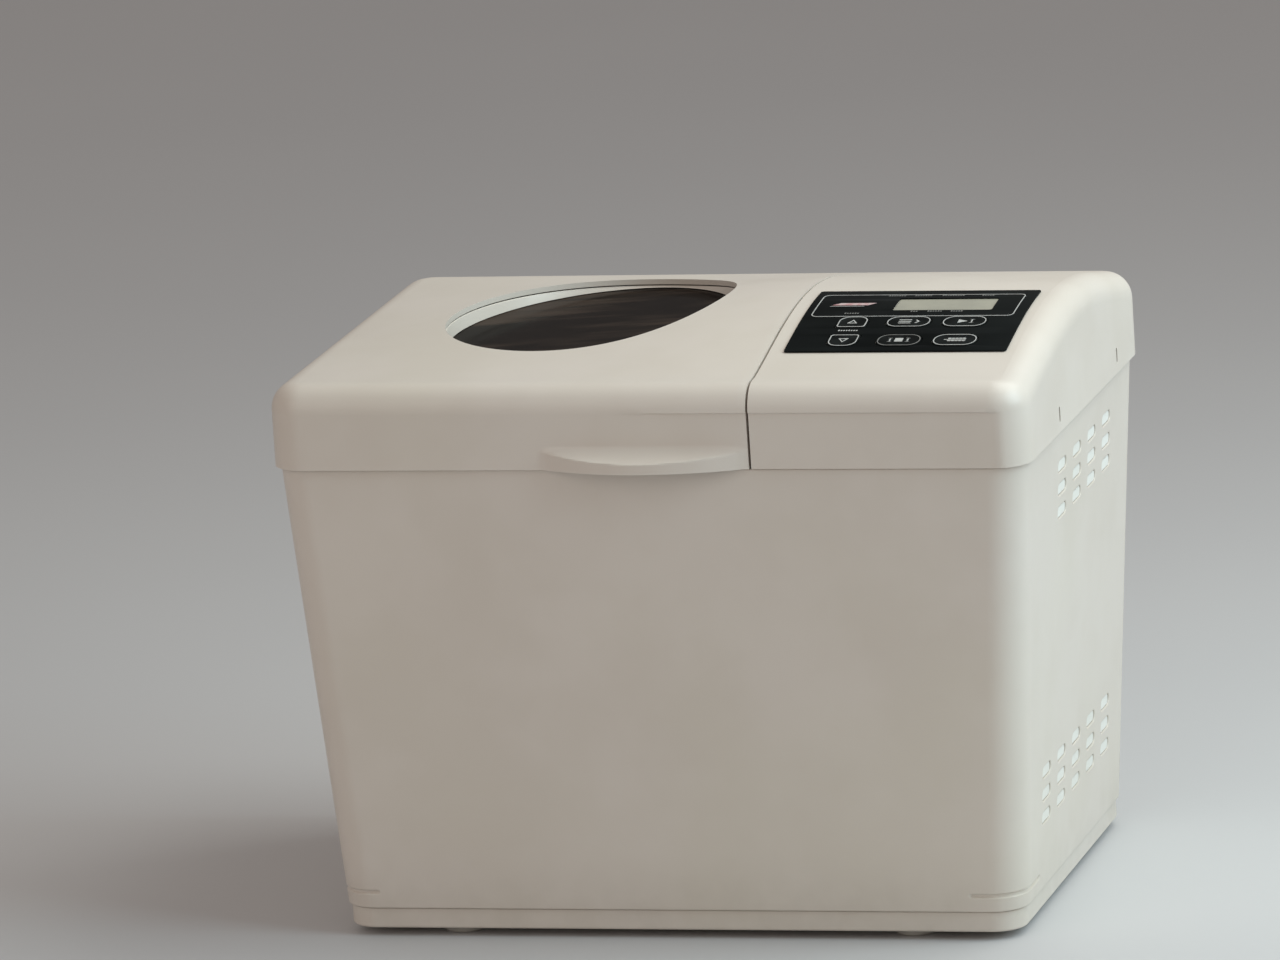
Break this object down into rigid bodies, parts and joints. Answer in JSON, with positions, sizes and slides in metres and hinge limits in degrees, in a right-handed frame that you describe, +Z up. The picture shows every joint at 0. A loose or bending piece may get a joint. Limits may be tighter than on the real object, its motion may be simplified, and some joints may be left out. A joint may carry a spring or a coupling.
{
  "type": "bread machine",
  "caption": "Countertop bread machine with a tapered off-white case, an arched hinged lid with an oval window and a side control panel with oval keys and a display.",
  "frame": {"origin": "middle of the footprint's bounding box, on the surface the feet stand on", "axes": "+Z up, the front with the finger lip faces -Y, the control panel is on the +X side"},
  "size_m": [0.36, 0.263, 0.284],
  "materials": {
    "ivory_plastic": "satin moulded plastic, warm off-white",
    "dark_plastic": "matte black moulded plastic",
    "overlay_black": "black printed control film, satin",
    "display_pale": "pale grey-beige display window",
    "smoked_glass": "smoked viewing glass",
    "sheet_steel": "brushed sheet steel",
    "zinc_steel": "zinc-plated steel, dull",
    "nonstick": "dark speckled non-stick coating",
    "element_sheath": "dark oxidised heater sheath",
    "aluminium": "cast or turned aluminium",
    "brass": "turned brass",
    "rubber": "moulded rubber",
    "foot_rubber": "pale grey moulded rubber",
    "board_green": "green circuit board",
    "copper_winding": "copper winding in dark steel laminations"
  },
  "bodies": {
    "root": {"baking_chamber": "sheet_steel", "base_tray": "ivory_plastic", "bearing_housing": "zinc_steel", "bread_pan": "nonstick", "chassis_plate": "zinc_steel", "control_board": "board_green", "control_housing": "ivory_plastic", "control_overlay": "overlay_black", "cord_gland": "dark_plastic", "deck_frame": "ivory_plastic", "display_lens": "display_pale", "display_module": "dark_plastic", "drive_belt": "rubber", "element_clip_front": "zinc_steel", "element_clip_left": "zinc_steel", "element_clip_rear": "zinc_steel", "foot_front_left": "foot_rubber", "foot_front_right": "foot_rubber", "foot_rear_left": "foot_rubber", "foot_rear_right": "foot_rubber", "heat_shield": "sheet_steel", "heating_element": "element_sheath", "hinge_bracket_left": "zinc_steel", "hinge_bracket_right": "zinc_steel", "hinge_pin_left": "sheet_steel", "hinge_pin_right": "sheet_steel", "housing": "ivory_plastic", "motor": "zinc_steel", "motor_bracket": "zinc_steel", "pan_bush": "brass", "pan_socket": "aluminium", "power_board": "board_green", "power_tray": "dark_plastic", "run_capacitor": "aluminium", "sounder": "dark_plastic", "temperature_probe": "brass", "thermal_fuse": "aluminium", "transformer": "copper_winding"},
    "lid": {"lid_shell": "ivory_plastic", "window_glass": "smoked_glass", "window_bezel": "ivory_plastic", "window_retainer": "dark_plastic", "lid_liner": "sheet_steel"},
    "drive": {"drive_shaft": "sheet_steel", "large_pulley": "dark_plastic", "drive_coupling": "aluminium"},
    "motor_rotor": {"motor_shaft": "sheet_steel", "motor_pulley": "aluminium"},
    "agitator": {"pan_shaft": "sheet_steel", "pan_coupling": "aluminium", "kneading_paddle": "nonstick"},
    "handle": {"pan_handle": "sheet_steel"},
    "key_timer_down": {"key_timer_down": "overlay_black"},
    "key_stop": {"key_stop": "overlay_black"},
    "key_grain": {"key_grain": "overlay_black"},
    "key_timer_up": {"key_timer_up": "overlay_black"},
    "key_select": {"key_select": "overlay_black"},
    "key_start": {"key_start": "overlay_black"}
  },
  "joints": [
    {"name": "lid_hinge", "type": "hinge", "parent": "root", "child": "lid", "pos_m": [-0.065, 0.125, 0.2395], "axis": [-1, 0, 0], "range_deg": [0, 95]},
    {"name": "key_timer_down_press", "type": "slide", "parent": "root", "child": "key_timer_down", "axis": [0, 0.1995, -0.9799], "range_m": [0, 0.0006], "stiffness_N_per_m": 500},
    {"name": "key_stop_press", "type": "slide", "parent": "root", "child": "key_stop", "axis": [0, 0.1995, -0.9799], "range_m": [0, 0.0006], "stiffness_N_per_m": 500},
    {"name": "key_grain_press", "type": "slide", "parent": "root", "child": "key_grain", "axis": [0, 0.1995, -0.9799], "range_m": [0, 0.0006], "stiffness_N_per_m": 500},
    {"name": "key_timer_up_press", "type": "slide", "parent": "root", "child": "key_timer_up", "axis": [0, 0.1683, -0.9857], "range_m": [0, 0.0006], "stiffness_N_per_m": 500},
    {"name": "key_select_press", "type": "slide", "parent": "root", "child": "key_select", "axis": [0, 0.1683, -0.9857], "range_m": [0, 0.0006], "stiffness_N_per_m": 500},
    {"name": "key_start_press", "type": "slide", "parent": "root", "child": "key_start", "axis": [0, 0.1683, -0.9857], "range_m": [0, 0.0006], "stiffness_N_per_m": 500},
    {"name": "drive_spin", "type": "hinge", "parent": "root", "child": "drive", "pos_m": [-0.0595, 0.0055, 0.0182], "axis": [0, 0, 1], "continuous": true},
    {"name": "motor_spin", "type": "hinge", "parent": "root", "child": "motor_rotor", "pos_m": [0.1056, 0.0055, 0.0182], "axis": [0, 0, 1], "continuous": true},
    {"name": "agitator_spin", "type": "hinge", "parent": "root", "child": "agitator", "pos_m": [-0.0595, 0.0055, 0.0791], "axis": [0, 0, 1], "continuous": true},
    {"name": "handle_swing", "type": "hinge", "parent": "root", "child": "handle", "pos_m": [-0.0595, 0.0055, 0.2145], "axis": [-1, 0, 0], "range_deg": [0, 35]}
  ],
  "couplings": [
    {"joint": "motor_spin", "follows": "drive_spin", "ratio": 5.8824},
    {"joint": "agitator_spin", "follows": "drive_spin", "ratio": 1}
  ]
}
